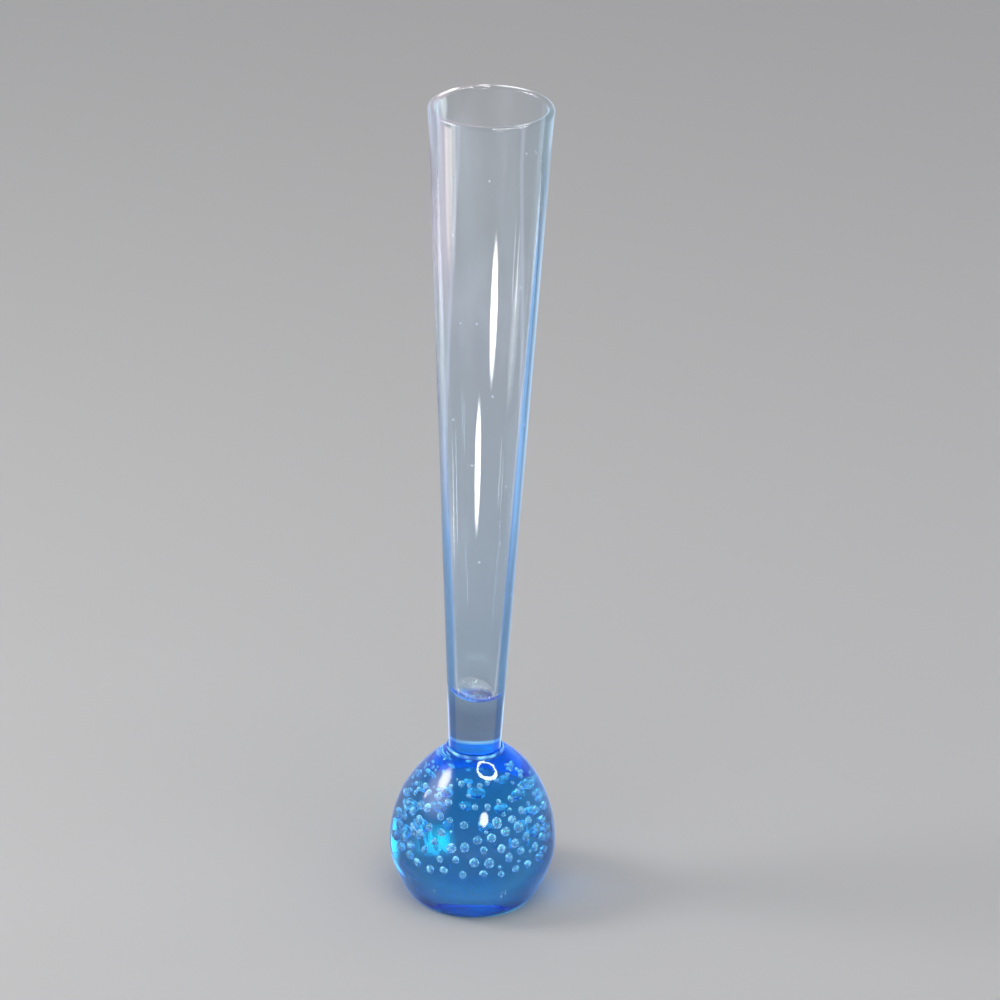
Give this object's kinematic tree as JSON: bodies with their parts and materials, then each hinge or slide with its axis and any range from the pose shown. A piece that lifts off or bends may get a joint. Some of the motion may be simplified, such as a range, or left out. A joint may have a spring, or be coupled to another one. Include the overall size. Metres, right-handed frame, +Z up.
{
  "type": "bud vase",
  "caption": "Slender trumpet-shaped glass bud vase standing on a solid blue glass ball full of small trapped bubbles, with a ground flat foot.",
  "frame": {"origin": "middle of the ground flat foot, on the surface the vase stands on", "axes": "+Z up along the vase's axis to the mouth; X and Y lie in the foot's plane and are alike, because every piece is turned about Z"},
  "size_m": [0.0504, 0.0504, 0.254],
  "materials": {
    "flute_glass": "clear, faintly blue, fire polished",
    "casing_glass": "transparent azure blue, fire polished, with a ground foot",
    "core_glass": "transparent azure blue with pricked pits that hold air"
  },
  "bodies": {
    "root": {"flute": "flute_glass", "ball_casing": "casing_glass", "ball_core": "core_glass"}
  },
  "joints": []
}
